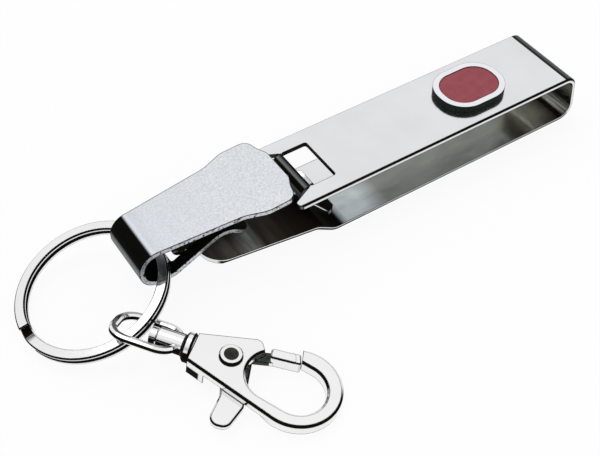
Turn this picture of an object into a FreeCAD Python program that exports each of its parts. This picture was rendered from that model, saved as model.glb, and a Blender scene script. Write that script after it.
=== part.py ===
import FreeCAD, Part
import math
import os

V = FreeCAD.Vector
NEAR = 1e-6

# Belt band: one bent strip, seen from the side in X (along the belt loop) and Z (up)
STRIP = 1.0
BAND_WIDTH = 18.0
BAND_HEIGHT = 11.3
END_TOP_X = 31.1
END_LOW_X = 32.2
END_TOP_R = 2.5
END_BOTTOM_R = 3.0
CURL_X = -36.65
CURL_R = 1.4
LIP_KNEE_X = -29.8
LIP_KNEE_Z = 2.75
LIP_KNEE_R = 1.3
LIP_END_X = -28.1
LIP_END_Z = 3.15
LIP_INSET = 2.4
LIP_HALF = BAND_WIDTH / 2 - LIP_INSET
LIP_CORNER_R = 2.6
TAB_INSET = 3.8
TAB_HALF = BAND_WIDTH / 2 - TAB_INSET
TAB_NECK_Z = 7.6
EAR_END_X = -37.9
EAR_TIP_WIDTH = 1.5
EAR_TIP_HALF = BAND_WIDTH / 2 - EAR_TIP_WIDTH
EAR_ROOT_X = -33.6
EAR_ROOT_WIDTH = 3.6
EAR_ROOT_HALF = BAND_WIDTH / 2 - EAR_ROOT_WIDTH
EAR_R = 1.1
JOGGLE_START_X = -29.9
JOGGLE_END_X = -34.0
JOGGLE_RISE = 2.6
JOGGLE_R = 3.0
TAIL_SLOPE = math.radians(9.0)
TAIL_CORNER_X = -53.1
TAIL_CORNER_R = 4.4
TONGUE_HALF = 3.2
TONGUE_ROOT_R = 0.6
TONGUE_KNEE_X = -61.4
TONGUE_KNEE_R = 1.3
TONGUE_RISE = 2.6
TONGUE_LEAN = math.radians(15.0)
WINDOW_X = -33.2
WINDOW_LENGTH = 5.8
WINDOW_ARM = 3.7
WINDOW_HALF = BAND_WIDTH / 2 - WINDOW_ARM
WINDOW_R = 0.5
BAND_EDGE = 0.35

# Medallion on the top run
BADGE_X = 9.2
BADGE_LENGTH = 15.2
BADGE_MARGIN = 3.0
BADGE_WIDTH = BAND_WIDTH - 2 * BADGE_MARGIN
BADGE_HEIGHT = 1.5
BADGE_END_FLAT = 0.8
BADGE_CORNER_R = (BADGE_WIDTH - BADGE_END_FLAT) / 2
BADGE_RIM = 1.3
BADGE_FLOOR = 0.6
ENAMEL_BELOW = 0.15

# Hanger clip: flared plate, U-bend and humped leg of one strip
HANGER_STRIP = 1.0
BEND_REACH = 8.1
BEND_X = TONGUE_KNEE_X - BEND_REACH
NECK_REACH = 3.5
NECK_X = BEND_X + NECK_REACH
NECK_Z = 12.8
PLATE_SLOPE = math.radians(2.84)
PLATE_INSET = 0.05
PLATE_HALF = BAND_WIDTH / 2 - PLATE_INSET
NECK_INSET = 3.1
PLATE_NECK_HALF = PLATE_HALF - NECK_INSET
PLATE_FLANK_L = 17.0
FLANK_INSET = 1.55
PLATE_FLANK_HALF = PLATE_HALF - FLANK_INSET
PLATE_SHOULDER_L = 21.3
PLATE_CORNER_L = 27.2
PLATE_STEP_L = 27.9
STEP_INSET = 2.95
PLATE_STEP_HALF = PLATE_HALF - STEP_INSET
PLATE_END_L = 28.9
END_INSET = 5.05
PLATE_END_HALF = PLATE_HALF - END_INSET
PLATE_FLANK_R = 8.0
PLATE_SHOULDER_R = 5.0
PLATE_CORNER_R = 2.2
PLATE_STEP_R = 2.5
PLATE_END_R = 1.5
BEND_R = 3.3
BASE_Z = 5.6
BASE_LENGTH = 6.2
BASE_END_X = BEND_X + BASE_LENGTH
BASE_END_R = 3.0
SLOT_BEHIND = 1.3
SLOT_LENGTH = 5.5
SLOT_LEFT_X = TONGUE_KNEE_X - SLOT_BEHIND
SLOT_RIGHT_X = SLOT_LEFT_X + SLOT_LENGTH
HUMP_REACH = 5.0
HUMP_X = SLOT_RIGHT_X + HUMP_REACH
HUMP_Z = 10.8
HUMP_R = 4.5
LEG_REACH = 5.3
LEG_TIP_X = HUMP_X + LEG_REACH
LEG_TIP_Z = 7.0
LEG_TIP_R = 3.0
SLOT_CLEAR = 0.4
SLOT_R = 0.5

# Split ring: flat wire wound twice, with a stepped crossing
RING_OUTER_R = 14.65
RING_RADIAL = 2.0
COIL = 0.85
COIL_GAP = 0.45
CROSS_START = 175.0
CROSS_TURN = 20.0
CROSS_SECTIONS = 7
RING_EDGE = 0.2
RING_BEHIND = 0.6
RING_ABOVE_BASE = 0.82
RING_FLOOR = 0.1
RING_Y = -0.25
RING_LEAN = math.radians(0.86)

# Snap hook: own frame at the rivet, X along the hook, Z out of its front face
GRIP_ANGLE = -78.8
GRIP_REACH = 10.35
GRIP_RISE = 0.18
HOOK_YAW = -44.5
HOOK_PITCH = 7.8
SWIVEL_SKEW = 6.3
AXIS_V = 0.5
AXIS_N = -1.5
LOOP_THICK = 2.2
LOOP_R = 7.85
LOOP_U = 12.5
LOOP_V = -2.95
EYE_R = 4.95
EYE_LEFT_U = 8.1
EYE_LEFT_V = -1.75
EYE_RIGHT_U = 12.65
EYE_RIGHT_V = -3.3
TIP_OUTER_U = 11.6
TIP_INNER_U = 12.15
NECK_U = -6.74
NECK_V = 0.0
NECK_HALF = 2.95
BROW_U = 4.4
BROW_V = 4.72
BROW_R = 1.3
CHIN_U = 5.45
CHIN_V = 2.7
CHIN_R = 0.5
FACE_THICK = 1.5
BODY_THICK = 3.8
NECK_BLOCK_LENGTH = 2.3
RIM_THICK = 1.0
RIM_END_U = -2.4
LOW_RIM_END_U = -3.7
HOOK_EDGE = 0.4

# Trigger lever, its rivet and its spring
LEVER_THICK = 1.0
LEVER_GAP = 0.15
HUB_R = 2.9
NOSE_BACK_U = 6.5
NOSE_END_TOP_U = 11.0
NOSE_END_LOW_U = 11.5
NOSE_TOP_V = 3.75
NOSE_LOW_V = 1.65
NOSE_BELOW = 0.1
NOSE_R = 0.5
ARM_TOP_V = 2.4
ARM_LOW_V = 0.4
STEM_LEFT_U = -1.5
STEM_RIGHT_U = 3.7
TAB_WAIST_U = -0.1
TAB_WAIST_V = -7.2
TAB_WAIST_R = 1.5
TAB_LEFT_U = -1.0
TAB_RIGHT_U = 2.7
TAB_END_V = -13.0
TAB_R = 1.75
TAB_SHOULDER_U = 4.4
TAB_SHOULDER_V = -8.4
TAB_SHOULDER_R = 1.0
LEVER_EDGE = 0.25
RIVET_R = 1.6
RIVET_BORE_R = 1.22
RIVET_HEAD_R = 2.15
RIVET_HEAD = 0.55
RIVET_EDGE = 0.25
RIVET_FOOT = 0.4
PIVOT_FIT = 0.05
SPRING_WIRE = 0.44
SPRING_R = 2.15
SPRING_ARC = 220.0
SPRING_LEG = 2.4
SPRING_POCKET_R = 2.75
SPRING_POCKET = 0.75
LEG_POCKET_HALF = 1.75

# Swivel: stud through collar and bail hub, along its own axis from the neck
STUD_R = 1.0
STUD_HEAD_R = 1.55
STUD_HEAD_START = -7.95
STUD_HEAD_END = -6.8
STUD_ROOT = 1.7
SWIVEL_FIT = 0.06
COLLAR_R = 2.8
COLLAR_LENGTH = 1.6
COLLAR_EDGE = 0.4
HUB_LEFT = -6.5
HUB_RIGHT = -1.9
BARREL_R = 2.0
BAIL_TIP = -15.2
BAIL_BASE = -2.4
BAIL_HALF = 5.0
BAIL_BAR = 1.4
BAIL_TIP_R = 4.0
BAIL_BASE_R = 3.6
BAIL_EDGE = 0.4
BAIL_TILT = 26.0


def shifted(points, side):
    """Corner points of a path moved sideways, to its left where side is positive."""
    normals = []
    for a, b in zip(points, points[1:]):
        along = (b - a).normalize()
        normals.append(V(-along.y, along.x, 0))
    moved = [points[0] + normals[0] * side]
    for point, n1, n2 in zip(points[1:-1], normals, normals[1:]):
        moved.append(point + (n1 + n2) * (side / (1 + n1.dot(n2))))
    moved.append(points[-1] + normals[-1] * side)
    return moved


def rounded_edges(points, radii, side=0.0):
    """Lines and arcs along a path moved sideways by side; a radius of 0 leaves a sharp corner."""
    path = shifted(points, side)
    edges = []
    start = path[0]
    for before, corner, after, radius in zip(path, path[1:], path[2:], radii):
        if radius == 0:
            edges.append(Part.makeLine(start, corner))
            start = corner
            continue
        back = (before - corner).normalize()
        ahead = (after - corner).normalize()
        turn = 1 if back.cross(ahead).z < 0 else -1
        r = radius - side * turn
        half = back.getAngle(ahead) / 2
        arc_start = corner + back * (r / math.tan(half))
        arc_end = corner + ahead * (r / math.tan(half))
        inward = (back + ahead).normalize()
        arc_mid = corner + inward * (r / math.sin(half) - r)
        if start.distanceToPoint(arc_start) > NEAR:
            edges.append(Part.makeLine(start, arc_start))
        edges.append(Part.Arc(arc_start, arc_mid, arc_end).toShape())
        start = arc_end
    edges.append(Part.makeLine(start, path[-1]))
    return edges


def bent_strip(points, radii, thickness, width):
    """Strip bent along a path of (x, z) points, its width centred on Y."""
    path = [V(x, z, 0) for x, z in points]
    left = rounded_edges(path, radii, thickness / 2)
    right = rounded_edges(path, radii, -thickness / 2)
    ends = []
    for tip in (0, -1):
        ends.append(Part.makeLine(shifted(path, thickness / 2)[tip], shifted(path, -thickness / 2)[tip]))
    loop = Part.Wire(Part.__sortEdges__(left + right + ends))
    solid = Part.Face(loop).extrude(V(0, 0, width))
    solid.translate(V(0, 0, -width / 2))
    solid.rotate(V(0, 0, 0), V(1, 0, 0), 90)
    return solid


def flat_plate(corners, radii, bottom, top):
    """Plate with a rounded outline of (x, y) corners, between two heights."""
    points = [V(x, y, bottom) for x, y in corners]
    seam = (points[-1] + points[0]) * 0.5
    flat = [V(p.x, p.y, 0) for p in [seam] + points + [seam]]
    face = Part.Face(Part.Wire(rounded_edges(flat, radii)))
    face.translate(V(0, 0, bottom))
    return face.extrude(V(0, 0, top - bottom))


def mirrored(half):
    """Outline corners of one side followed by the same on the other side."""
    return half + [(x, -y) for x, y in reversed(half)]


def rod(radius, start, end):
    """Round bar along the swivel's axis."""
    return Part.makeCylinder(radius, end - start, V(start, 0, 0), V(1, 0, 0))


def post(radius, bottom, top, u=0.0, v=0.0):
    """Round bar square to the hook's front face."""
    return Part.makeCylinder(radius, top - bottom, V(u, v, bottom), V(0, 0, 1))


def level_edges(shape, height):
    """Edges that lie flat at a height."""
    boxes = [(edge, edge.BoundBox) for edge in shape.Edges]
    return [edge for edge, box in boxes if box.ZLength < NEAR and abs(box.ZMin - height) < NEAR]


def belt_band():
    mid = STRIP / 2
    tail_z = mid + JOGGLE_RISE
    knee_z = tail_z + (JOGGLE_END_X - TONGUE_KNEE_X) * math.tan(TAIL_SLOPE)
    top_z = BAND_HEIGHT - mid
    path = [
        (EAR_END_X, top_z),
        (END_TOP_X - mid, top_z),
        (END_LOW_X - mid, mid),
        (JOGGLE_START_X, mid),
        (JOGGLE_END_X, tail_z),
        (TONGUE_KNEE_X, knee_z),
        (TONGUE_KNEE_X - TONGUE_RISE * math.sin(TONGUE_LEAN), knee_z + TONGUE_RISE),
    ]
    radii = [END_TOP_R, END_BOTTOM_R, JOGGLE_R, JOGGLE_R, TONGUE_KNEE_R]
    band = bent_strip(path, radii, STRIP, BAND_WIDTH)
    long = [e for e in level_edges(band, BAND_HEIGHT) if e.Length > BAND_WIDTH + NEAR]
    band = band.makeChamfer(BAND_EDGE, long)
    band = band.cut(tail_trim()).cut(ear_trim()).fuse(lip())
    return band.cut(window()).removeSplitter()


def tail_trim():
    """What is cut from the tail, leaving rounded corners and the tongue."""
    half = BAND_WIDTH / 2
    wide = BAND_WIDTH
    far = TONGUE_KNEE_X - BAND_WIDTH
    end = TAIL_CORNER_X - TAIL_CORNER_R
    kept = mirrored([
        (TAIL_CORNER_X + wide, half),
        (end, half),
        (end, TONGUE_HALF),
        (far, TONGUE_HALF),
    ])
    side = [0, TAIL_CORNER_R, TONGUE_ROOT_R, 0]
    keep = flat_plate(kept, side + side[::-1], 0, BAND_HEIGHT)
    block = Part.makeBox(TAIL_CORNER_X - far, 2 * wide, BAND_HEIGHT, V(far, -wide, 0))
    return block.cut(keep)


def ear_trim():
    """What is cut from the top run's left end, leaving an ear on each side of the tab."""
    half = BAND_WIDTH / 2
    low = BAND_HEIGHT - 2 * STRIP
    high = BAND_HEIGHT + STRIP
    kept = []
    for side in (1, -1):
        ear = [
            (EAR_ROOT_X + STRIP, side * EAR_ROOT_HALF),
            (EAR_ROOT_X + STRIP, side * (half + STRIP)),
            (EAR_ROOT_X, side * (half + STRIP)),
            (EAR_ROOT_X, side * half),
            (EAR_END_X, side * half),
            (EAR_END_X, side * EAR_TIP_HALF),
            (EAR_ROOT_X, side * EAR_ROOT_HALF),
        ]
        kept.append(flat_plate(ear, [0, 0, 0, 0, EAR_R, EAR_R / 2, 0], low, high))
    corner = V(EAR_END_X - STRIP, -half, low)
    block = Part.makeBox(EAR_ROOT_X - EAR_END_X + STRIP, BAND_WIDTH, high - low, corner)
    return block.cut(kept)


def lip():
    """Tab between the ears, curled under and widened into the sprung lip."""
    top_z = BAND_HEIGHT - STRIP / 2
    path = [(LIP_END_X, LIP_END_Z), (LIP_KNEE_X, LIP_KNEE_Z), (CURL_X, top_z), (WINDOW_X, top_z)]
    strip = bent_strip(path, [LIP_KNEE_R, CURL_R], STRIP, 2 * LIP_HALF)
    kept = mirrored([(CURL_X - 2 * STRIP, LIP_HALF), (LIP_END_X + STRIP / 2, LIP_HALF)])
    lower = flat_plate(kept, [LIP_CORNER_R] * len(kept), 0, TAB_NECK_Z)
    upper = Part.makeBox(WINDOW_X - CURL_X + 2 * STRIP, 2 * TAB_HALF, BAND_HEIGHT - TAB_NECK_Z,
                         V(CURL_X - 2 * STRIP, -TAB_HALF, TAB_NECK_Z))
    return strip.common(lower.fuse(upper))


def window():
    corners = mirrored([(WINDOW_X, WINDOW_HALF), (WINDOW_X + WINDOW_LENGTH, WINDOW_HALF)])
    return flat_plate(corners, [WINDOW_R] * len(corners), BAND_HEIGHT - 2 * STRIP, BAND_HEIGHT + STRIP)


def badge_outline(inset, bottom, top):
    half_l = BADGE_LENGTH / 2 - inset
    half_w = BADGE_WIDTH / 2 - inset
    corners = mirrored([(BADGE_X - half_l, half_w), (BADGE_X + half_l, half_w)])
    radii = [BADGE_CORNER_R - inset] * len(corners)
    return flat_plate(corners, radii, BAND_HEIGHT + bottom, BAND_HEIGHT + top)


def badge_rim():
    return badge_outline(0, 0, BADGE_HEIGHT).cut(badge_outline(BADGE_RIM, BADGE_FLOOR, BADGE_HEIGHT + STRIP))


def badge_enamel():
    return badge_outline(BADGE_RIM, BADGE_FLOOR, BADGE_HEIGHT - ENAMEL_BELOW)


def hanger_plate():
    corners = mirrored([
        (0, PLATE_NECK_HALF),
        (PLATE_FLANK_L, PLATE_FLANK_HALF),
        (PLATE_SHOULDER_L, PLATE_HALF),
        (PLATE_CORNER_L, PLATE_HALF),
        (PLATE_STEP_L, PLATE_STEP_HALF),
        (PLATE_END_L, PLATE_END_HALF),
    ])
    side = [0, PLATE_FLANK_R, PLATE_SHOULDER_R, PLATE_CORNER_R, PLATE_STEP_R, PLATE_END_R]
    plate = flat_plate(corners, side + side[::-1], -HANGER_STRIP / 2, HANGER_STRIP / 2)
    plate.rotate(V(0, 0, 0), V(0, 1, 0), -math.degrees(PLATE_SLOPE))
    plate.translate(V(NECK_X, 0, NECK_Z))
    return plate


def hanger_clip():
    bend_z = NECK_Z - (NECK_X - BEND_X) * math.tan(PLATE_SLOPE)
    path = [
        (NECK_X, NECK_Z),
        (BEND_X, bend_z),
        (BEND_X, BASE_Z),
        (BASE_END_X, BASE_Z),
        (HUMP_X, HUMP_Z),
        (LEG_TIP_X, LEG_TIP_Z),
    ]
    leg = bent_strip(path, [BEND_R, BEND_R, BASE_END_R, HUMP_R], HANGER_STRIP, 2 * PLATE_NECK_HALF)
    tips = [e for e in leg.Edges if abs(e.Length - HANGER_STRIP) < NEAR and e.CenterOfMass.x > HUMP_X]
    leg = leg.makeFillet(LEG_TIP_R, tips)
    slot_half = TONGUE_HALF + SLOT_CLEAR
    corners = mirrored([(SLOT_LEFT_X, slot_half), (SLOT_RIGHT_X, slot_half)])
    slot = flat_plate(corners, [SLOT_R] * len(corners), BASE_Z - 2 * STRIP, HUMP_Z)
    return leg.cut(slot).fuse(hanger_plate()).removeSplitter()


def coil_section(angle, bottom):
    """Section of the flat wire with its corners cut, standing at an angle round the ring."""
    turn = FreeCAD.Rotation(V(0, 0, 1), angle)
    middle = RING_OUTER_R - RING_RADIAL / 2
    corners = []
    for x, z in ((1, 1), (-1, 1), (-1, -1), (1, -1)):
        near_side = V(middle + x * RING_RADIAL / 2, 0, bottom + COIL / 2 + z * (COIL / 2 - RING_EDGE))
        near_face = V(middle + x * (RING_RADIAL / 2 - RING_EDGE), 0, bottom + COIL / 2 + z * COIL / 2)
        corners += [near_side, near_face] if x * z > 0 else [near_face, near_side]
    corners = [turn.multVec(c) for c in corners]
    return Part.makePolygon(corners + corners[:1])


def split_ring():
    low = -COIL - COIL_GAP / 2
    high = COIL_GAP / 2
    free = CROSS_START + CROSS_TURN
    coils = []
    for bottom in (low, high):
        face = Part.Face(coil_section(free, bottom))
        coils.append(face.revolve(V(0, 0, 0), V(0, 0, 1), 360 - CROSS_TURN))
    steps = []
    for i in range(CROSS_SECTIONS):
        part = i / (CROSS_SECTIONS - 1)
        rise = part * part * (3 - 2 * part)
        steps.append(coil_section(CROSS_START + part * CROSS_TURN, low + rise * (high - low)))
    crossing = Part.makeLoft(steps, True)
    ring = coils[0].fuse([crossing, coils[1]]).removeSplitter()
    ring.Placement = ring_placement()
    return ring


def ring_placement():
    """The ring stands on the floor at its left and lies in the hanger's bend at its right."""
    base_top = BASE_Z + HANGER_STRIP / 2
    tilt = math.asin((base_top + RING_ABOVE_BASE - RING_FLOOR) / (2 * RING_OUTER_R - RING_RADIAL))
    half_height = COIL + COIL_GAP / 2
    tongue_face = TONGUE_KNEE_X - STRIP / 2 - TONGUE_RISE * math.sin(TONGUE_LEAN)
    x = tongue_face - RING_BEHIND - RING_OUTER_R * math.cos(tilt)
    z = RING_FLOOR + RING_OUTER_R * math.sin(tilt) + half_height * math.cos(tilt)
    normal = V(-math.sin(tilt), math.sin(RING_LEAN), math.cos(tilt))
    return FreeCAD.Placement(V(x, RING_Y, z), FreeCAD.Rotation(V(0, 0, 1), normal))


def swivel_placement():
    """The swivel's axis in the hook's frame, starting at the neck."""
    u = NECK_U + (AXIS_V - NECK_V) * math.tan(math.radians(SWIVEL_SKEW))
    return FreeCAD.Placement(V(u, AXIS_V, AXIS_N), FreeCAD.Rotation(V(0, 0, 1), -SWIVEL_SKEW))


def hook_placement():
    """The hook hangs with its bail round the ring's wire."""
    yaw = FreeCAD.Rotation(V(0, 0, 1), HOOK_YAW)
    turn = yaw.multiply(FreeCAD.Rotation(V(0, 1, 0), HOOK_PITCH))
    out = FreeCAD.Rotation(V(0, 0, 1), GRIP_ANGLE).multVec(V(RING_OUTER_R - RING_RADIAL / 2, 0, 0))
    wire = ring_placement().multVec(out)
    grip = swivel_placement().multVec(V(-GRIP_REACH, 0, 0))
    return FreeCAD.Placement(wire + V(0, 0, GRIP_RISE) - turn.multVec(grip), turn)


def in_hook(shape):
    """The shape moved from the hook's own frame to its place."""
    moved = shape.copy()
    moved.Placement = hook_placement().multiply(moved.Placement)
    return moved


def in_swivel(shape):
    """The shape moved from the swivel's own frame to the hook's."""
    moved = shape.copy()
    moved.Placement = swivel_placement().multiply(moved.Placement)
    return moved


def neck_corner(side):
    """Corner of the neck's end face, which stands square to the swivel's axis."""
    skew = math.radians(SWIVEL_SKEW)
    return (NECK_U + side * NECK_HALF * math.sin(skew), NECK_V + side * NECK_HALF * math.cos(skew))


def loop_tangent():
    """Where a line from the low neck corner touches the loop's outside."""
    u, v = neck_corner(-1)
    span = V(LOOP_U - u, LOOP_V - v, 0)
    angle = math.atan2(span.y, span.x) - math.asin(LOOP_R / span.Length)
    reach = math.sqrt(span.Length ** 2 - LOOP_R ** 2)
    return (u + reach * math.cos(angle), v + reach * math.sin(angle))


def eye_opening():
    left = post(EYE_R, -BODY_THICK, STRIP, EYE_LEFT_U, EYE_LEFT_V)
    right = post(EYE_R, -BODY_THICK, STRIP, EYE_RIGHT_U, EYE_RIGHT_V)
    along = V(EYE_RIGHT_U - EYE_LEFT_U, EYE_RIGHT_V - EYE_LEFT_V, 0)
    middle = Part.makeBox(along.Length, 2 * EYE_R, BODY_THICK + STRIP, V(0, -EYE_R, 0))
    middle.rotate(V(0, 0, 0), V(0, 0, 1), math.degrees(math.atan2(along.y, along.x)))
    middle.translate(V(EYE_LEFT_U, EYE_LEFT_V, -BODY_THICK))
    return left.fuse([right, middle])


def loop_disc():
    """Outside of the loop, open at the top between chin and tip."""
    disc = post(LOOP_R, -LOOP_THICK, 0, LOOP_U, LOOP_V)
    top = LOOP_V + 2 * LOOP_R
    lean = (TIP_INNER_U - TIP_OUTER_U) / (2 * EYE_R)
    corners = [
        (LOOP_U - 2 * LOOP_R, LOOP_V),
        (TIP_INNER_U + lean * LOOP_R, LOOP_V),
        (TIP_OUTER_U - lean * LOOP_R, top),
        (LOOP_U - 2 * LOOP_R, top),
    ]
    return disc.cut(flat_plate(corners, [0] * len(corners), -BODY_THICK, STRIP))


def blade(bottom, top):
    """Flat of the hook body, from the neck to where it runs into the loop."""
    corners = [
        neck_corner(1),
        (BROW_U, BROW_V),
        (CHIN_U, CHIN_V),
        (EYE_LEFT_U, EYE_LEFT_V),
        (LOOP_U, LOOP_V),
        loop_tangent(),
        neck_corner(-1),
    ]
    return flat_plate(corners, [0, BROW_R, CHIN_R, 0, 0, 0, 0], bottom, top)


def spring_pocket():
    """Room for the spring and its two legs in the back of the body's face."""
    top = SPRING_POCKET - FACE_THICK
    leg_end = SPRING_R + SPRING_LEG - SPRING_WIRE * 2
    corner = V(-leg_end, -LEG_POCKET_HALF, -FACE_THICK)
    legs = Part.makeBox(leg_end, 2 * LEG_POCKET_HALF, SPRING_POCKET, corner)
    return post(SPRING_POCKET_R, -FACE_THICK, top).fuse(legs)


def side_rim(start, towards, end_u, inward):
    """Wall down one edge of the body, from the neck to end_u."""
    slope = (towards[1] - start[1]) / (towards[0] - start[0])
    end_v = start[1] + slope * (end_u - start[0])
    corners = [start, (end_u, end_v), (end_u, end_v + inward), (start[0], start[1] + inward)]
    return flat_plate(corners, [0] * len(corners), -BODY_THICK, 0)


def hook_body():
    low = neck_corner(-1)
    corner = V(low[0], low[1] - NECK_HALF, -BODY_THICK)
    block = Part.makeBox(NECK_BLOCK_LENGTH, 4 * NECK_HALF, BODY_THICK, corner)
    rims = [side_rim(neck_corner(1), (BROW_U, BROW_V), RIM_END_U, -RIM_THICK),
            side_rim(low, loop_tangent(), LOW_RIM_END_U, RIM_THICK)]
    walls = block.fuse(rims).common(blade(-BODY_THICK, 0))
    back = blade(-BODY_THICK, -FACE_THICK).cut(post(LOOP_R, -BODY_THICK, 0, LOOP_U, LOOP_V))
    body = loop_disc().cut(back).fuse([blade(-FACE_THICK, 0)])
    body = body.cut(eye_opening()).fuse(walls).removeSplitter()
    arcs = [e for e in level_edges(body, 0) if isinstance(e.Curve, Part.Circle)]
    body = body.makeChamfer(HOOK_EDGE, [e for e in arcs if e.Curve.Radius > EYE_R - NEAR])
    bore = post(RIVET_R, -BODY_THICK, STRIP)
    pin = in_swivel(rod(STUD_R, -STRIP, STUD_ROOT))
    return body.cut(bore).cut(spring_pocket()).cut(pin).removeSplitter()


def lever_top():
    return -FACE_THICK - LEVER_GAP


def trigger_lever():
    top = lever_top()
    bottom = top - LEVER_THICK
    hub = post(HUB_R, bottom, top)
    arm = flat_plate(
        [(0, ARM_TOP_V), (NOSE_BACK_U + STRIP, NOSE_TOP_V), (NOSE_BACK_U + STRIP, NOSE_LOW_V),
         (0, ARM_LOW_V)],
        [NOSE_R] * 4, bottom, top)
    nose = flat_plate(
        [(NOSE_BACK_U, NOSE_TOP_V), (NOSE_END_TOP_U, NOSE_TOP_V), (NOSE_END_LOW_U, NOSE_LOW_V),
         (NOSE_BACK_U, NOSE_LOW_V)],
        [NOSE_R] * 4, bottom, -NOSE_BELOW)
    tail = flat_plate(
        [(STEM_LEFT_U, 0), (TAB_WAIST_U, TAB_WAIST_V), (TAB_LEFT_U, TAB_END_V), (TAB_RIGHT_U, TAB_END_V),
         (TAB_SHOULDER_U, TAB_SHOULDER_V), (STEM_RIGHT_U, ARM_LOW_V + STRIP)],
        [0, TAB_WAIST_R, TAB_R, TAB_R, TAB_SHOULDER_R, 0], bottom, top)
    tab_arcs = [e for e in level_edges(tail, top) if isinstance(e.Curve, Part.Circle)]
    tail = tail.makeChamfer(LEVER_EDGE, tab_arcs)
    nose = nose.makeChamfer(LEVER_EDGE, level_edges(nose, -NOSE_BELOW))
    lever = hub.fuse([arm, nose, tail])
    return lever.cut(post(RIVET_R + PIVOT_FIT, -2 * BODY_THICK, 0)).removeSplitter()


def pivot_rivet():
    foot_top = lever_top() - LEVER_THICK - LEVER_GAP
    shank = post(RIVET_R, foot_top, 0)
    head = post(RIVET_HEAD_R, 0, RIVET_HEAD)
    foot = post(RIVET_HEAD_R, foot_top - RIVET_FOOT, foot_top)
    bore = post(RIVET_BORE_R, foot_top - STRIP, STRIP)
    head = head.makeChamfer(RIVET_EDGE, level_edges(head, RIVET_HEAD))
    return shank.fuse([head, foot]).cut(bore)


def torsion_spring():
    z = SPRING_POCKET - FACE_THICK - SPRING_POCKET / 2
    half = math.radians(SPRING_ARC / 2)
    ends = []
    legs = []
    for side in (1, -1):
        end = V(SPRING_R * math.cos(half), side * SPRING_R * math.sin(half), z)
        away = V(-math.sin(half), side * math.cos(half), 0)
        ends.append(end)
        legs.append(end + away * SPRING_LEG)
    path = Part.Wire([
        Part.makeLine(legs[0], ends[0]),
        Part.Arc(ends[0], V(SPRING_R, 0, z), ends[1]).toShape(),
        Part.makeLine(ends[1], legs[1]),
    ])
    profile = Part.Wire(Part.makeCircle(SPRING_WIRE / 2, legs[0], ends[0] - legs[0]))
    return path.makePipeShell([profile], True, True)


def swivel_stud():
    shank = rod(STUD_R, STUD_HEAD_END, STUD_ROOT)
    head = rod(STUD_HEAD_R, STUD_HEAD_START, STUD_HEAD_END)
    return in_swivel(shank.fuse(head).removeSplitter())


def neck_collar():
    collar = rod(COLLAR_R, -COLLAR_LENGTH, 0)
    collar = collar.makeChamfer(COLLAR_EDGE, [e for e in collar.Edges if e.Closed])
    return in_swivel(collar.cut(rod(STUD_R, -2 * COLLAR_LENGTH, STRIP)))


def swivel_bail():
    outer = mirrored([(BAIL_TIP, BAIL_HALF), (BAIL_BASE, BAIL_HALF)])
    inner_half = BAIL_HALF - BAIL_BAR
    inner = mirrored([(BAIL_TIP + BAIL_BAR, inner_half), (BAIL_BASE - BAIL_BAR, inner_half)])
    tip_r = BAIL_TIP_R - BAIL_BAR
    base_r = BAIL_BASE_R - BAIL_BAR
    loop = flat_plate(outer, [BAIL_TIP_R, BAIL_BASE_R, BAIL_BASE_R, BAIL_TIP_R], -BAIL_BAR / 2, BAIL_BAR / 2)
    hole = flat_plate(inner, [tip_r, base_r, base_r, tip_r], -BAIL_BAR, BAIL_BAR)
    loop = loop.cut(hole)
    flat = level_edges(loop, BAIL_BAR / 2) + level_edges(loop, -BAIL_BAR / 2)
    loop = loop.makeChamfer(BAIL_EDGE, flat)
    bail = loop.fuse(rod(BARREL_R, HUB_LEFT, HUB_RIGHT))
    bail = bail.cut(rod(STUD_R + SWIVEL_FIT, STUD_HEAD_START, 0)).removeSplitter()
    bail.rotate(V(0, 0, 0), V(1, 0, 0), -BAIL_TILT)
    return in_swivel(bail)


def main():
    os.makedirs("parts", exist_ok=True)
    fixed = [belt_band, badge_rim, badge_enamel, hanger_clip, split_ring]
    hooked = [swivel_bail, swivel_stud, neck_collar, hook_body, trigger_lever, pivot_rivet, torsion_spring]
    for piece in fixed:
        piece().exportStep("parts/" + piece.__name__ + ".step")
    for piece in hooked:
        in_hook(piece()).exportStep("parts/" + piece.__name__ + ".step")


main()
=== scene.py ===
import math

import bpy
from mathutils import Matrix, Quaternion, Vector


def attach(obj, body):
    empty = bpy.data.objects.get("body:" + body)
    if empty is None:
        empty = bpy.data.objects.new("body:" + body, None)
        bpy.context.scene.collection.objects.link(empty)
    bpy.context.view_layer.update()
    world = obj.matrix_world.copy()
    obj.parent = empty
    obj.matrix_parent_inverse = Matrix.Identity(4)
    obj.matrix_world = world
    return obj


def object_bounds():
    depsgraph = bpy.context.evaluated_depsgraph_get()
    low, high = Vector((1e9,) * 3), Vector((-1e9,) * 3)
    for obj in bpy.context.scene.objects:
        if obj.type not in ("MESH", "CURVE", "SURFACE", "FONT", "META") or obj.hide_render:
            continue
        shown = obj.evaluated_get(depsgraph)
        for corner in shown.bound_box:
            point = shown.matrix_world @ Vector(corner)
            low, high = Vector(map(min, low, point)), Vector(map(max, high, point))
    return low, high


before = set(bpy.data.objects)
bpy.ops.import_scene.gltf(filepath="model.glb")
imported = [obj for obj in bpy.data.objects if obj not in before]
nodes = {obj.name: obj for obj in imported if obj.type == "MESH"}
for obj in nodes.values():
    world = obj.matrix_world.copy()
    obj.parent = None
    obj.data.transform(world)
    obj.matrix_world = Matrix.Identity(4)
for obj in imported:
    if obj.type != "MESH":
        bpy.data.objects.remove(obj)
cad_low, cad_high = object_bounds()
scene = bpy.context.scene

MM_PER_M = 1000

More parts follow.
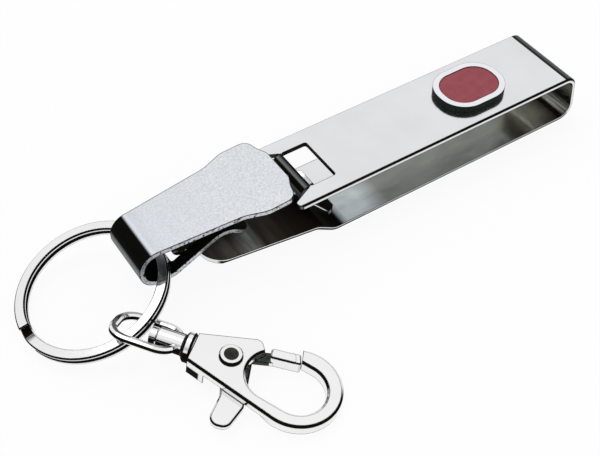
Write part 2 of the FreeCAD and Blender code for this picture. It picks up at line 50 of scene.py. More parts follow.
# Camera: where it looks, from which side, how far off, and its focal length in pixels of the frame
TARGET = Vector((-0.0340, -0.00271, -0.00243))
AZIMUTH = math.radians(-32.9745)
ELEVATION = math.radians(47.6952)
DISTANCE = 0.218853
ROLL = math.radians(-0.25)
FOCAL_PIXELS = 1097.64
FRAME_WIDTH = 600
SENSOR = 36.0
CLIP_NEAR = 0.01
CLIP_FAR = 20

# Ways the faces look: the band's axes, the ring's and hook's fronts, and the near side of the table
UP = (0.0, 0.0, 1.0)
RIGHT = (1.0, 0.0, 0.0)
FRONT = (0.0, -1.0, 0.0)
RING_FACE = (-0.2498, 0.0150, 0.9682)
HOOK_FACE = (0.0968, -0.0951, 0.9907)
NEAR_SIDE = (-0.544, -0.839, 0.0)

# The split ring's middle
RING_MIDDLE = (-0.07736, -0.00025, 0.00480)

# The hook's pivot, the way along its length to the loop, and the way across it from tab to nose
HOOK_PIVOT = (-0.06382, -0.02673, 0.00503)
HOOK_ALONG = (0.7067, -0.6944, -0.1357)
HOOK_ACROSS = (0.7009, 0.7133, 0.0)

# End of the trigger's nose in millimetres: where it leaves the nose, its sides, reach and heights
NOSE_ROOT = 10.2
NOSE_LOW = 1.66
NOSE_HIGH = 3.74
NOSE_END_LOW = 12.1
NOSE_END_HIGH = 11.75
NOSE_CORNER = 0.3
NOSE_STEPS = 16
NOSE_BOTTOM = -2.64
NOSE_TOP = -0.11
NOSE_BEVEL = 0.2

# Light tones of steel and plating
WHITE = (0.87, 0.87, 0.87)
WHITE_WORN = (0.84, 0.84, 0.84)
WHITE_DULL = (0.82, 0.82, 0.82)
PALE = (0.83, 0.83, 0.835)

# Dark tones for edges and bends that seem to mirror dark surroundings in the photo
BLACK = (0.003, 0.003, 0.003)
OLIVE_BLACK = (0.006, 0.006, 0.004)
BROWN_BLACK = (0.010, 0.008, 0.006)
LINE_GREY = (0.012, 0.012, 0.012)
DEEP_GREY = (0.02, 0.02, 0.018)
DEEP_GREEN = (0.02, 0.023, 0.02)
BROWN = (0.032, 0.024, 0.018)
UMBER = (0.06, 0.055, 0.045)
GREEN_GREY = (0.10, 0.115, 0.105)
MOSS_GREY = (0.13, 0.145, 0.135)
SAGE = (0.16, 0.185, 0.175)
SAGE_DULL = (0.16, 0.18, 0.165)

# Painted shade and reflections inside the belt loop
INNER_PALE = (0.72, 0.79, 0.80)
INNER_WARM = (0.68, 0.68, 0.61)
INNER_GREY = (0.31, 0.325, 0.29)
INNER_OLIVE = (0.26, 0.24, 0.20)
INNER_DARK = (0.14, 0.13, 0.11)

# Grain that runs alike in every direction
EVEN = (1, 1, 1)

# Bevel rays, the depth of the grain, and the share of metal left where a surface is painted dull
BEVEL_SAMPLES = 8
GRAIN_DEPTH = 0.00002
DULL_METAL = 0.1

# Thin painted dark lines along edges: how alike the softened and plain normals are where a line starts and
# where it is full
FRINGE = (0.992, 0.965)

# Softness of the painted black edge lines, and the fade that leaves out the faces that look down from a
# piece
EDGE_SOFT = 0.08
NOT_DOWN = (-0.6, -0.4)


def add_camera():
    back = Vector((
        math.sin(AZIMUTH) * math.cos(ELEVATION),
        -math.cos(AZIMUTH) * math.cos(ELEVATION),
        math.sin(ELEVATION),
    ))
    data = bpy.data.cameras.new("camera")
    data.sensor_width = SENSOR
    data.lens = FOCAL_PIXELS * SENSOR / FRAME_WIDTH
    data.clip_start = CLIP_NEAR
    data.clip_end = CLIP_FAR
    camera = bpy.data.objects.new("camera", data)
    camera.location = TARGET + back * DISTANCE
    camera.rotation_mode = "QUATERNION"
    level = (-back).to_track_quat("-Z", "Y")
    camera.rotation_quaternion = level @ Quaternion((0, 0, 1), ROLL)
    scene.collection.objects.link(camera)
    scene.camera = camera


class Shader:
    """A material's node tree, with short ways to add nodes and links."""

    def __init__(self, name):
        self.material = bpy.data.materials.new(name)
        self.material.use_nodes = True
        self.tree = self.material.node_tree
        self.principled = self.tree.nodes["Principled BSDF"]
        place = self.add("ShaderNodeTexCoord")
        self.object = place.outputs["Object"]
        self.facing = place.outputs["Normal"]
        apart = self.add("ShaderNodeSeparateXYZ", inputs={0: self.object})
        self.x, self.y, self.z = apart.outputs

    def add(self, kind, settings=None, inputs=None):
        node = self.tree.nodes.new(kind)
        for key, value in (settings or {}).items():
            setattr(node, key, value)
        for key, value in (inputs or {}).items():
            self.put(node.inputs[key], value)
        return node

    def put(self, socket, value):
        if isinstance(value, bpy.types.NodeSocket):
            self.tree.links.new(value, socket)
        else:
            socket.default_value = value

    def surface(self, **values):
        for key, value in values.items():
            self.put(self.principled.inputs[key.replace("_", " ")], value)

    def noise(self, stretch, scale, detail=3.0, rough=0.5):
        """Noise over object coordinates in millimetres, pulled along the axes."""
        pull = {"Vector": self.object, "Scale": Vector(stretch) * MM_PER_M}
        stretched = self.add("ShaderNodeMapping", inputs=pull).outputs[0]
        inputs = {"Vector": stretched, "Scale": scale, "Detail": detail, "Roughness": rough}
        return self.add("ShaderNodeTexNoise", inputs=inputs).outputs["Fac"]

    def spread(self, value, low, high, start=0.3, end=0.7):
        """Values from low to high as a value goes from start to end."""
        inputs = {"Value": value, "From Min": start, "From Max": end, "To Min": low, "To Max": high}
        return self.add("ShaderNodeMapRange", inputs=inputs).outputs[0]

    def step(self, value, start, end):
        """Smooth step from 0 at start to 1 at end."""
        inputs = {"Value": value, "From Min": start, "From Max": end}
        smooth = {"interpolation_type": "SMOOTHSTEP"}
        return self.add("ShaderNodeMapRange", smooth, inputs).outputs[0]

    def within(self, value, low, high, soft):
        """1 between low and high, fading to 0 over soft outside them."""
        rise = self.step(value, low - soft, low)
        fall = self.step(value, high + soft, high)
        return self.both(rise, fall)

    def calculate(self, operation, first, second=0.0):
        inputs = {0: first, 1: second}
        return self.add("ShaderNodeMath", {"operation": operation}, inputs).outputs[0]

    def both(self, *masks):
        """Where all of some masks hold."""
        result = masks[0]
        for mask in masks[1:]:
            result = self.calculate("MULTIPLY", result, mask)
        return result

    def either(self, *masks):
        """Where any of some masks holds."""
        result = masks[0]
        for mask in masks[1:]:
            result = self.calculate("MAXIMUM", result, mask)
        return result

    def outside(self, mask):
        """Where a mask does not hold."""
        return self.calculate("SUBTRACT", 1.0, mask)

    def away(self, value):
        """A value without its sign."""
        return self.calculate("ABSOLUTE", value)

    def dot(self, first, second):
        inputs = {0: first, 1: second}
        return self.add("ShaderNodeVectorMath", {"operation": "DOT_PRODUCT"}, inputs).outputs["Value"]

    def length(self, vector):
        return self.add("ShaderNodeVectorMath", {"operation": "LENGTH"}, {0: vector}).outputs["Value"]

    def towards(self, direction):
        """How far the surface faces a direction of the piece, -1 to 1."""
        return self.dot(self.facing, direction)

    def reach(self, direction, start):
        """Distance of a point from a start along a direction of the piece."""
        inputs = {0: self.object, 1: start}
        apart = self.add("ShaderNodeVectorMath", {"operation": "SUBTRACT"}, inputs)
        return self.dot(apart.outputs[0], direction)

    def blend(self, factor, first, second):
        node = self.add("ShaderNodeMix", {"data_type": "RGBA"})
        for index, value in ((0, factor), (6, first), (7, second)):
            self.put(node.inputs[index], value + (1.0,) if isinstance(value, tuple) else value)
        return node.outputs[2]

    def ramp(self, value, stops):
        """Colours along a value, each stop a place and a colour."""
        low, high = stops[0][0], stops[-1][0]
        node = self.add("ShaderNodeValToRGB", inputs={0: self.spread(value, 0.0, 1.0, low, high)})
        elements = node.color_ramp.elements
        for place, colour in stops[1:-1]:
            elements.new((place - low) / (high - low)).color = colour + (1.0,)
        elements[0].color = stops[0][1] + (1.0,)
        elements[-1].color = stops[-1][1] + (1.0,)
        return node.outputs[0]

    def rounded(self, radius):
        """Normal softened over a radius at edges."""
        return self.add("ShaderNodeBevel", {"samples": BEVEL_SAMPLES}, {"Radius": radius}).outputs[0]

    def bump(self, height, strength, normal):
        inputs = {"Height": height, "Strength": strength, "Distance": GRAIN_DEPTH, "Normal": normal}
        return self.add("ShaderNodeBump", inputs=inputs).outputs[0]


class Metal(Shader):
    """Steel with a fine grain, uneven gloss, softened edges and areas of painted dark reflection and shade.
    """

    def __init__(self, name, light, dark, grain=EVEN, scale=2.0):
        super().__init__(name)
        self.streak = self.noise(grain, scale, detail=4.0, rough=0.6)
        cloud = self.noise(EVEN, scale=0.12, detail=2.0)
        self.colour = self.blend(self.spread(cloud, 0.0, 1.0), light, dark)
        self.shade = None

    def streaked(self, first, second):
        return self.blend(self.spread(self.streak, 0.0, 1.0), first, second)

    def paint(self, mask, first, second):
        """Colour an area dull, streaked between two colours."""
        self.cover(mask, self.streaked(first, second))

    def cover(self, mask, colour):
        """Colour an area dull."""
        self.tint(mask, colour)
        self.shade = mask if self.shade is None else self.either(self.shade, mask)

    def tint(self, mask, colour):
        """Colour an area that stays a mirror."""
        self.colour = self.blend(mask, self.colour, colour)

    def fringe(self, radius):
        """Thin dark line painted along sharp edges as a reflection of dark surroundings, where the softened
        normal leaves the plain one.
        """
        plain = self.add("ShaderNodeNewGeometry").outputs["Normal"]
        same = self.dot(plain, self.rounded(radius))
        self.paint(self.step(same, *FRINGE), LINE_GREY, BROWN_BLACK)

    def edge_lines(self, face, low=0.5, high=0.86, turn=(-0.1, 0.15), where=1.0):
        """Black painted reflection on the narrow flats beside a face that look to the near side."""
        slanted = self.within(self.towards(face), low, high, EDGE_SOFT)
        near = self.step(self.towards(NEAR_SIDE), *turn)
        self.paint(self.both(slanted, near, where), BLACK, BROWN_BLACK)

    def finish(self, rough, bump, edge):
        self.surface(Base_Color=self.colour, Specular_IOR_Level=0.0)
        if self.shade is None:
            self.surface(Metallic=1.0)
        else:
            self.surface(Metallic=self.spread(self.shade, 1.0, DULL_METAL, 0.0, 1.0))
        self.surface(Roughness=self.spread(self.streak, *rough))
        self.surface(Normal=self.bump(self.streak, bump, self.rounded(edge)))
        return self.material


# Masks below are named fades. Two values are where a fade starts and where it is full, three are the
# low and high end of an area and its softness. Places are in metres, ways of facing are -1 to 1.

# Band, painted shade and reflections inside the loop and on the tail
FLOOR_UP = (0.35, 0.5)
FLOOR_NOT_FRONT = (0.4, 0.25)
UNDER_TOP_Z = (0.0098, 0.0094)
NEAR_HALF_Y = (0.0018, 0.0012)
LEFT_OF_LOOP_X = (-0.0275, -0.0285)
VEIL_SHARE = 0.25
TAIL_STREAK_SHARE = 0.7
END_WALL_LEFT = (-0.35, -0.6)
END_WALL_X = (0.026, 0.027)
LOOP_TONES = [
    (-0.0285, BLACK), (-0.0265, INNER_PALE), (-0.0215, INNER_PALE), (-0.0166, INNER_GREY),
    (0.0145, INNER_GREY), (0.019, INNER_OLIVE), (0.0244, INNER_WARM), (0.0285, BROWN),
]
TAIL_TONES = [
    (-0.060, BROWN), (-0.050, INNER_DARK), (-0.0475, INNER_GREY), (-0.0455, UMBER),
    (-0.040, BROWN), (-0.034, BROWN_BLACK), (-0.0285, BLACK),
]

# Band, painted dark reflections round the squared end's bend, the curl of the tail and the lip beside the
# window
BEND_X = (0.0281, 0.0283)
BEND_Z = (0.0092, 0.0095)
BEND_UP = (-0.2, 0.0)
BEND_NOT_FRONT = (0.9, 0.8)
BEND_TONES = [
    (0.0282, BLACK), (0.0286, DEEP_GREEN), (0.0292, GREEN_GREY), (0.0301, MOSS_GREY), (0.0306, BLACK),
]
CURL_LEFT = (-0.15, -0.3)
CURL_X = (-0.0322, -0.0328)
CURL_END_X = (-0.048, -0.045)
CURL_Z = (0.0030, 0.0034)
CURL_TONES = [(-1.0, BLACK), (-0.9, DEEP_GREY), (-0.6, SAGE), (-0.2, BLACK)]
LIP_X = (-0.0331, -0.0333)
LIP_Y = (-0.0053, 0.0053, 0.0001)
LIP_Z = (0.008, 0.0085)
LIP_TONES = [(-0.0365, BLACK), (-0.0352, GREEN_GREY), (-0.0342, SAGE_DULL), (-0.0335, BLACK)]

# Band, painted black shade and reflections on the window's walls and the cut edges
UPRIGHT = (-0.3, 0.3, 0.1)
WINDOW_X = (-0.034, -0.0268, 0.0002)
WINDOW_Y = (-0.0056, 0.0056, 0.0002)
WINDOW_Z = (0.0098, 0.0100)
TOP_RUN_Z = (0.0088, 0.0094)
CUT_FRONT = (0.8, 0.9)
BACK_RUN_Z = (0.0016, 0.0012)
TAIL_X = (-0.029, -0.030)
TAIL_Z = (0.0082, 0.0078)
FOOT_RADIUS = 0.0006
FOOT_UP = (0.15, 0.05)


def paint_loop(s):
    """Painted shade and reflections inside the loop and on the tail, and painted shade on the inner wall of
    the squared end.
    """
    facing_up = s.step(s.towards(UP), *FLOOR_UP)
    not_front = s.step(s.towards(FRONT), *FLOOR_NOT_FRONT)
    inside = s.both(facing_up, s.step(s.z, *UNDER_TOP_Z), s.step(s.y, *NEAR_HALF_Y), not_front)
    veil = s.noise((0.35, 1, 1), scale=0.45)
    s.tint(inside, s.blend(s.spread(veil, 0.0, VEIL_SHARE), s.ramp(s.x, LOOP_TONES), BROWN_BLACK))
    # Painted shade and reflection on the tail, in streaks
    tail_streaks = s.noise((0.8, 0.12, 1), scale=0.9)
    tail = s.blend(s.spread(tail_streaks, 0.0, TAIL_STREAK_SHARE), s.ramp(s.x, TAIL_TONES), BROWN_BLACK)
    s.cover(s.both(inside, s.step(s.x, *LEFT_OF_LOOP_X)), tail)
    end_wall = s.both(s.step(s.towards(RIGHT), *END_WALL_LEFT), s.step(s.x, *END_WALL_X))
    s.tint(end_wall, s.streaked(INNER_DARK, INNER_GREY))


def paint_bends(s):
    """Painted dark reflections in bands round the squared end, the tail's curl and the lip."""
    not_front = s.step(s.towards(FRONT), *BEND_NOT_FRONT)
    facing_up = s.step(s.towards(UP), *BEND_UP)
    bend = s.both(s.step(s.x, *BEND_X), s.step(s.z, *BEND_Z), facing_up, not_front)
    s.cover(bend, s.ramp(s.x, BEND_TONES))
    right = s.towards(RIGHT)
    along = s.both(s.step(s.x, *CURL_X), s.step(s.x, *CURL_END_X))
    curl = s.both(s.step(right, *CURL_LEFT), along, s.step(s.z, *CURL_Z))
    s.cover(curl, s.ramp(right, CURL_TONES))
    lip = s.both(s.step(s.x, *LIP_X), s.within(s.y, *LIP_Y), s.step(s.z, *LIP_Z))
    s.cover(lip, s.ramp(s.x, LIP_TONES))


def paint_cuts(s):
    """Painted black shade and reflection on the window's walls and along the top run, and painted black
    shade at the foot of the back run and tail.
    """
    upright = s.within(s.towards(UP), *UPRIGHT)
    window = s.both(s.within(s.x, *WINDOW_X), s.within(s.y, *WINDOW_Y), s.step(s.z, *WINDOW_Z))
    s.paint(s.both(upright, window), BLACK, BROWN)
    s.edge_lines(UP, where=s.step(s.z, *TOP_RUN_Z))
    cut = s.both(upright, s.step(s.towards(FRONT), *CUT_FRONT))
    tail = s.both(s.step(s.x, *TAIL_X), s.step(s.z, *TAIL_Z))
    low_run = s.either(s.step(s.z, *BACK_RUN_Z), tail)
    foot = s.step(s.dot(s.rounded(FOOT_RADIUS), UP), *FOOT_UP)
    s.paint(s.both(cut, low_run, foot), BLACK, BROWN_BLACK)


def band_steel():
    """Bright strip: plain outside, painted shade and reflections inside the loop, painted black reflections
    and shade along the near edges.
    """
    s = Metal("band_steel", (0.76, 0.765, 0.78), (0.72, 0.725, 0.74), grain=(0.05, 1, 1), scale=6.0)
    paint_loop(s)
    paint_bends(s)
    paint_cuts(s)
    s.fringe(radius=0.00024)
    return s.finish(rough=(0.10, 0.18), bump=0.05, edge=0.00012)


# Hanger: its plate, which greys towards the bend, its cut sides and the chips in them
PLATE_TONES = [(-0.069, (0.44, 0.46, 0.49)), (-0.064, (0.60, 0.62, 0.65)), (-0.045, (0.68, 0.70, 0.72))]
PLATE_FADE_X = (-0.055, -0.040)
PLATE_Z = (0.0110, 0.0113)
PLATE_UP = (0.94, 0.985)
SPECK_GREY = (0.44, 0.47, 0.51)
SPECK_SHARE = 0.7
SPECK = (0.35, 0.65)
SIDE_UP = (-0.25, 0.25, 0.1)
SIDE_NEAR = (0.5, 0.6)
CHIP = (0.56, 0.60)


def hanger_steel():
    """Strip with a fine matte face, painted near black reflection and shade round and inside the bend, plain
    where it looks down.
    """
    s = Metal("hanger_steel", (0.73, 0.75, 0.77), (0.69, 0.71, 0.73), scale=5.0)
    s.tint(s.spread(s.x, 1.0, 0.0, *PLATE_FADE_X), s.ramp(s.x, PLATE_TONES))
    speck = s.noise(EVEN, scale=2.6, detail=2.0, rough=0.7)
    s.tint(s.spread(speck, 0.0, SPECK_SHARE, *SPECK), SPECK_GREY)
    up = s.towards(UP)
    plate = s.both(s.step(s.z, *PLATE_Z), s.step(up, *PLATE_UP))
    sides = s.both(s.within(up, *SIDE_UP), s.step(s.towards(NEAR_SIDE), *SIDE_NEAR))
    chip = s.noise(EVEN, scale=1.7, rough=0.7)
    s.cover(s.both(sides, s.step(chip, *CHIP)), BROWN_BLACK)
    # Painted black reflection and shade on all but the plate and the near sides
    dark = s.outside(s.either(plate, sides))
    s.paint(s.both(dark, s.step(up, *NOT_DOWN)), BLACK, OLIVE_BLACK)
    s.fringe(radius=0.00032)
    return s.finish(rough=(0.32, 0.45), bump=0.25, edge=0.0001)


# Ring: its upright sides, heights off its middle, and the flat faces between its turns, for painted black
# reflections and shade
RING_SIDE = (-0.8, 0.6, 0.05)
RING_FOOT = (-0.00085, -0.00095)
RING_BROW = (0.00064, 0.00074)
RING_FLAT = (0.8, 0.9)
RING_GAP = (0.00032, 0.00026)


def ring_steel():
    """Bright flat wire, each turn with painted black reflections on its edges, the low turn painted dark
    along its foot, and painted shade between the turns.
    """
    s = Metal("ring_steel", PALE, (0.80, 0.80, 0.805), scale=3.0)
    facing = s.towards(RING_FACE)
    height = s.reach(RING_FACE, RING_MIDDLE)
    lines = s.either(s.step(height, *RING_FOOT), s.step(height, *RING_BROW))
    s.paint(s.both(s.within(facing, *RING_SIDE), lines), BLACK, BROWN_BLACK)
    between = s.both(s.step(s.away(facing), *RING_FLAT), s.step(s.away(height), *RING_GAP))
    s.paint(between, BLACK, BROWN_BLACK)
    s.edge_lines(RING_FACE, high=0.9, turn=(-0.35, -0.15))
    s.fringe(radius=0.00018)
    return s.finish(rough=(0.07, 0.13), bump=0.03, edge=0.00006)


# Hook: its upright walls, and how far back and how low the painted dark shade and reflection of its neck
# starts
HOOK_WALL = (-0.3, 0.3, 0.1)
NECK_ALONG = (-0.0045, -0.0048)
NECK_RISE = (-0.0018, -0.0020)


def hook_nickel():
    """Bright plated casting with painted black reflections where its edges turn to the near side, and
    painted dark shade and reflection low on the walls of its neck.
    """
    s = Metal("hook_nickel", WHITE, WHITE_WORN)
    wall = s.within(s.towards(HOOK_FACE), *HOOK_WALL)
    neck = s.step(s.reach(HOOK_ALONG, HOOK_PIVOT), *NECK_ALONG)
    low = s.step(s.reach(HOOK_FACE, HOOK_PIVOT), *NECK_RISE)
    s.paint(s.both(wall, neck, low), BLACK, BROWN_BLACK)
    s.edge_lines(HOOK_FACE)
    s.fringe(radius=0.00026)
    return s.finish(rough=(0.08, 0.15), bump=0.04, edge=0.00012)


# Lever: the part that shows in the hook's eye, and the part of its tab that the body covers, both with
# painted shade
EYE_ALONG = (0.0067, 0.0065)
EYE_ACROSS = (-0.0032, -0.0029)
COVER_SLOPE = 0.479
COVER_REACH = (-0.0061, -0.0058)
COVER_ACROSS = (-0.0029, -0.0032)


def lever_nickel():
    """Plate of the trigger, light on its tab and nose, with painted shade where it shows in the hook's eye
    and painted shadow where the body covers it.
    """
    s = Metal("lever_nickel", WHITE, WHITE_WORN)
    along = s.reach(HOOK_ALONG, HOOK_PIVOT)
    across = s.reach(HOOK_ACROSS, HOOK_PIVOT)
    shown = s.step(s.towards(HOOK_FACE), *NOT_DOWN)
    s.paint(s.both(shown, s.step(along, *EYE_ALONG), s.step(across, *EYE_ACROSS)), BROWN_BLACK, GREEN_GREY)
    lean = Vector(HOOK_ACROSS) + Vector(HOOK_ALONG) * COVER_SLOPE
    covered = s.both(s.step(s.reach(lean, HOOK_PIVOT), *COVER_REACH), s.step(across, *COVER_ACROSS))
    s.paint(s.both(shown, covered), BLACK, BROWN_BLACK)
    s.edge_lines(HOOK_FACE)
    s.fringe(radius=0.00026)
    return s.finish(rough=(0.08, 0.15), bump=0.04, edge=0.0001)


# Bail: its far side, except its front, for painted black reflection
BAIL_FAR = (-0.35, -0.5)
BAIL_NOT_FACE = (0.9, 0.8)


def bail_nickel():
    """Bright bent wire, with painted black reflections low on its near side and along its far side."""
    s = Metal("bail_nickel", WHITE, WHITE_DULL)
    s.edge_lines(HOOK_FACE, low=-0.25, high=0.50)
    far = s.step(s.towards(NEAR_SIDE), *BAIL_FAR)
    s.paint(s.both(far, s.step(s.towards(HOOK_FACE), *BAIL_NOT_FACE)), BLACK, BROWN_BLACK)
    s.fringe(radius=0.00015)
    return s.finish(rough=(0.06, 0.12), bump=0.04, edge=0.0001)


# Turned pieces: the bevels at their ends, for painted black reflection
END_BEVEL = (0.5, 0.85, 0.08)


def turned_steel(name, light, dark):
    """Turned piece, with painted black reflections low on its near side and along the bevels at its ends."""
    s = Metal(name, light, dark, scale=4.0)
    s.edge_lines(HOOK_FACE, low=-0.4, high=0.5, turn=(0.3, 0.5))
    s.paint(s.within(s.away(s.towards(HOOK_ALONG)), *END_BEVEL), BLACK, BROWN_BLACK)
    s.fringe(radius=0.00012)
    return s.finish(rough=(0.10, 0.18), bump=0.04, edge=0.0001)


# Rivet: the edge of its bore, inside which shade is painted
RIVET_BORE = (0.00135, 0.00128)


def rivet_steel():
    """Hollow rivet: bright rolled rim with painted black reflections on its bevels and painted dark
    grey-green shade in its bore.
    """
    s = Metal("rivet_steel", WHITE, (0.82, 0.82, 0.83), scale=4.0)
    along = s.reach(HOOK_ALONG, HOOK_PIVOT)
    across = s.reach(HOOK_ACROSS, HOOK_PIVOT)
    place = s.add("ShaderNodeCombineXYZ", inputs={0: along, 1: across}).outputs[0]
    s.edge_lines(HOOK_FACE, low=-0.6, high=0.8)
    s.paint(s.step(s.length(place), *RIVET_BORE), GREEN_GREY, INNER_DARK)
    s.fringe(radius=0.00012)
    return s.finish(rough=(0.10, 0.18), bump=0.04, edge=0.0001)


def spring_steel():
    """Plain drawn wire."""
    s = Metal("spring_steel", (0.45, 0.45, 0.46), (0.38, 0.38, 0.39), scale=4.0)
    return s.finish(rough=(0.20, 0.30), bump=0.05, edge=0.0001)


# Badge: the rim's wall and its two dark greens of painted reflection, and the enamel's two reds, gloss,
# mottle and edge
RIM_WALL_UP = (0.5, 0.3)
RIM_DEEP = (0.006, 0.009, 0.007)
RIM_GREEN = (0.03, 0.04, 0.034)
RED_DEEP = (0.27, 0.045, 0.06)
RED_LIGHT = (0.32, 0.06, 0.08)
ENAMEL_ROUGH = (0.35, 0.5)
ENAMEL_BUMP = 0.08
ENAMEL_EDGE = 0.0003


def badge_metal():
    """Pale rim with a painted deep green-black reflection on its wall."""
    s = Metal("badge_metal", (0.84, 0.84, 0.88), (0.80, 0.80, 0.84), scale=3.0)
    s.paint(s.step(s.towards(UP), *RIM_WALL_UP), RIM_DEEP, RIM_GREEN)
    s.fringe(radius=0.00012)
    return s.finish(rough=(0.12, 0.2), bump=0.03, edge=0.0001)


def enamel():
    """Hard fired colour with a soft mottle and a glassy coat."""
    s = Shader("red_enamel")
    cloud = s.noise(EVEN, scale=0.6)
    speck = s.noise(EVEN, scale=9.0, detail=2.0)
    s.surface(Base_Color=s.blend(s.spread(cloud, 0.0, 1.0), RED_DEEP, RED_LIGHT))
    s.surface(Roughness=s.spread(speck, *ENAMEL_ROUGH), Specular_IOR_Level=0.2)
    s.surface(Coat_Weight=0.15, Coat_Roughness=0.2)
    s.surface(Normal=s.bump(speck, ENAMEL_BUMP, s.rounded(ENAMEL_EDGE)))
    return s.material


def hook_point(along, across, rise):
    """Point of the hook, in millimetres along it, across it and off its front face."""
    ways = ((HOOK_ALONG, along), (HOOK_ACROSS, across), (HOOK_FACE, rise))
    return Vector(HOOK_PIVOT) + sum((Vector(way) * far / MM_PER_M for way, far in ways), Vector())


def nose_outline(inset):
    """Outline of the nose's end, a curve that follows the hook's tip, drawn in by an inset."""
    low, high = NOSE_LOW + inset, NOSE_HIGH - inset
    points = [(NOSE_ROOT, low)]
    for i in range(NOSE_STEPS + 1):
        part = i / NOSE_STEPS
        sway = part * part * (3 - 2 * part)
        reach = NOSE_END_LOW + (NOSE_END_HIGH - NOSE_END_LOW) * sway
        edge = min(part, 1 - part) * (high - low)
        short = max(0.0, NOSE_CORNER - edge)
        corner = NOSE_CORNER - math.sqrt(max(0.0, NOSE_CORNER ** 2 - short ** 2))
        points.append((reach - corner - inset, low + part * (high - low)))
    return points + [(NOSE_ROOT, high)]


def add_nose_end(material):
    """Rounded end of the trigger's nose, which closes most of the hook's mouth."""
    levels = ((0.0, NOSE_BOTTOM), (0.0, NOSE_TOP - NOSE_BEVEL), (NOSE_BEVEL, NOSE_TOP))
    rings = [[hook_point(u, v, rise) for u, v in nose_outline(inset)] for inset, rise in levels]
    count = len(rings[0])
    top = (len(rings) - 1) * count
    faces = [tuple(reversed(range(count))), tuple(range(top, top + count))]
    for first in range(0, top, count):
        second = first + count
        for i in range(count):
            after = (i + 1) % count
            faces.append((first + i, first + after, second + after, second + i))
    mesh = bpy.data.meshes.new("nose_end")
    mesh.from_pydata([p for ring in rings for p in ring], [], faces)
    mesh.materials.append(material)
    piece = bpy.data.objects.new("nose_end", mesh)
    scene.collection.objects.link(piece)
    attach(piece, "trigger")


def dress():
    lever = lever_nickel()
    finishes = {
        "belt_band": band_steel(),
        "hanger_clip": hanger_steel(),
        "split_ring": ring_steel(),
        "swivel_bail": bail_nickel(),
        "neck_collar": turned_steel("collar_nickel", WHITE, WHITE_DULL),
        "hook_body": hook_nickel(),
        "trigger_lever": lever,
        "swivel_stud": turned_steel("stud_steel", PALE, (0.78, 0.78, 0.79)),
        "pivot_rivet": rivet_steel(),
        "torsion_spring": spring_steel(),
        "badge_rim": badge_metal(),
        "badge_enamel": enamel(),
    }
    for name, material in finishes.items():
        slots = nodes[name].data.materials
        slots.clear()
        slots.append(material)
    add_nose_end(lever)


# Floor: its size, its drop under the object, its colour, and its share of plain white; the rest takes shadow
FLOOR_SIZE = 6
FLOOR_DROP = 0.00005
FLOOR_COLOUR = (0.98, 0.98, 0.98, 1.0)
FLOOR_WHITE = 0.88


def add_floor():
    bpy.ops.mesh.primitive_plane_add(size=FLOOR_SIZE, location=(0, 0, cad_low.z - FLOOR_DROP))
    floor = bpy.context.object
    floor.name = "floor"
    s = Shader("floor_white")
    s.surface(Base_Color=FLOOR_COLOUR, Roughness=0.9, Specular_IOR_Level=0.0)
    path = s.add("ShaderNodeLightPath").outputs
    seen = s.either(path["Is Camera Ray"], path["Is Glossy Ray"], path["Is Transmission Ray"])
    share = s.spread(seen, 0.0, FLOOR_WHITE, 0.0, 1.0)
    plain = s.add("ShaderNodeEmission", inputs={"Strength": 1.0}).outputs[0]
    parts = {0: share, 1: s.principled.outputs[0], 2: plain}
    mixed = s.add("ShaderNodeMixShader", inputs=parts).outputs[0]
    s.put(s.tree.nodes["Material Output"].inputs["Surface"], mixed)
    floor.data.materials.append(s.material)


# Grey cards: what they stand round, how far off, their sides, and the share of the radius before they fade
CARD_AIM = Vector((-0.03, -0.01, 0.0))
CARD_DISTANCE = 1.0
CARD_SIDES = 64
CARD_CORE = 0.75


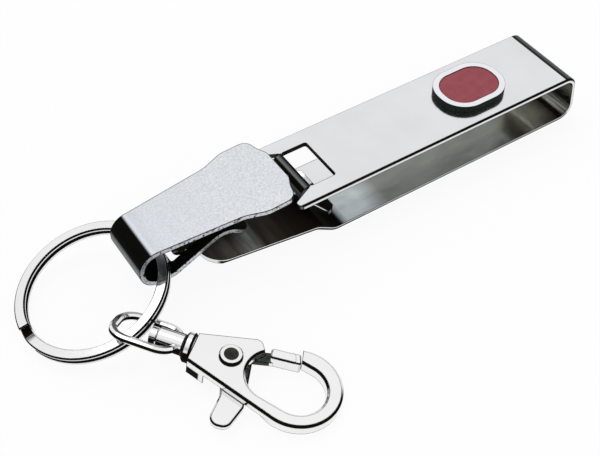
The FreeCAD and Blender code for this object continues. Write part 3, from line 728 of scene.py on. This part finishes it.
def add_card(name, towards, half_angle, colour):
    """Grey card that only mirrors see, round and soft at its edge, square to a direction."""
    radius = CARD_DISTANCE * math.tan(math.radians(half_angle))
    turns = [2 * math.pi * i / CARD_SIDES for i in range(CARD_SIDES)]
    points = [(0, 0, 0)] + [(radius * math.cos(a), radius * math.sin(a), 0) for a in turns]
    faces = [(0, 1 + i, 1 + (i + 1) % CARD_SIDES) for i in range(CARD_SIDES)]
    mesh = bpy.data.meshes.new(name)
    mesh.from_pydata(points, [], faces)
    card = bpy.data.objects.new(name, mesh)
    direction = Vector(towards).normalized()
    card.location = CARD_AIM + direction * CARD_DISTANCE
    card.rotation_mode = "QUATERNION"
    card.rotation_quaternion = direction.to_track_quat("Z", "Y")
    scene.collection.objects.link(card)
    s = Shader(name + "_cloth")
    edge = s.spread(s.length(s.object), 0.0, 1.0, radius * CARD_CORE, radius)
    s.surface(Base_Color=(0, 0, 0, 1), Roughness=1.0, Specular_IOR_Level=0.0)
    s.surface(Emission_Color=s.blend(edge, colour, (1.0, 1.0, 1.0)), Emission_Strength=1.0)
    mesh.materials.append(s.material)
    card.visible_camera = False
    card.visible_diffuse = False
    card.visible_shadow = False


def add_cards():
    add_card("card_front", (-0.36, -0.72, 0.52), half_angle=30, colour=(0.30, 0.31, 0.32))
    add_card("card_left", (-0.75, 0.50, 0.30), half_angle=28, colour=(0.22, 0.22, 0.21))
    add_card("card_right", (0.85, 0.45, 0.10), half_angle=26, colour=(0.22, 0.23, 0.22))


# Light: the world's strength where it lights and where it is seen or mirrored, and one soft lamp
WORLD_LIGHT = 0.8
WORLD_SEEN = 1.0
LAMP_SIZE = 0.5
LAMP_ENERGY = 1.0
LAMP_PLACE = Vector((-0.15, 0.25, 0.7))
LAMP_AIM = Vector((-0.03, 0, 0))


def add_world():
    world = bpy.data.worlds.new("world")
    scene.world = world
    world.use_nodes = True
    tree = world.node_tree
    shade = tree.nodes["Background"]
    path = tree.nodes.new("ShaderNodeLightPath")
    seen = path.outputs["Is Camera Ray"]
    for ray in ("Is Glossy Ray", "Is Transmission Ray"):
        either = tree.nodes.new("ShaderNodeMath")
        either.operation = "MAXIMUM"
        tree.links.new(seen, either.inputs[0])
        tree.links.new(path.outputs[ray], either.inputs[1])
        seen = either.outputs[0]
    level = tree.nodes.new("ShaderNodeMapRange")
    level.inputs["To Min"].default_value = WORLD_LIGHT
    level.inputs["To Max"].default_value = WORLD_SEEN
    tree.links.new(seen, level.inputs["Value"])
    tree.links.new(level.outputs[0], shade.inputs["Strength"])
    shade.inputs["Color"].default_value = (1, 1, 1, 1)


def add_lamp():
    lamp = bpy.data.lights.new("soft_lamp", "AREA")
    lamp.size = LAMP_SIZE
    lamp.energy = LAMP_ENERGY
    holder = bpy.data.objects.new("soft_lamp", lamp)
    holder.location = LAMP_PLACE
    holder.rotation_euler = (LAMP_AIM - LAMP_PLACE).to_track_quat("-Z", "Y").to_euler()
    scene.collection.objects.link(holder)


scene.view_settings.view_transform = "Standard"
add_camera()
dress()
add_floor()
add_cards()
add_world()
add_lamp()
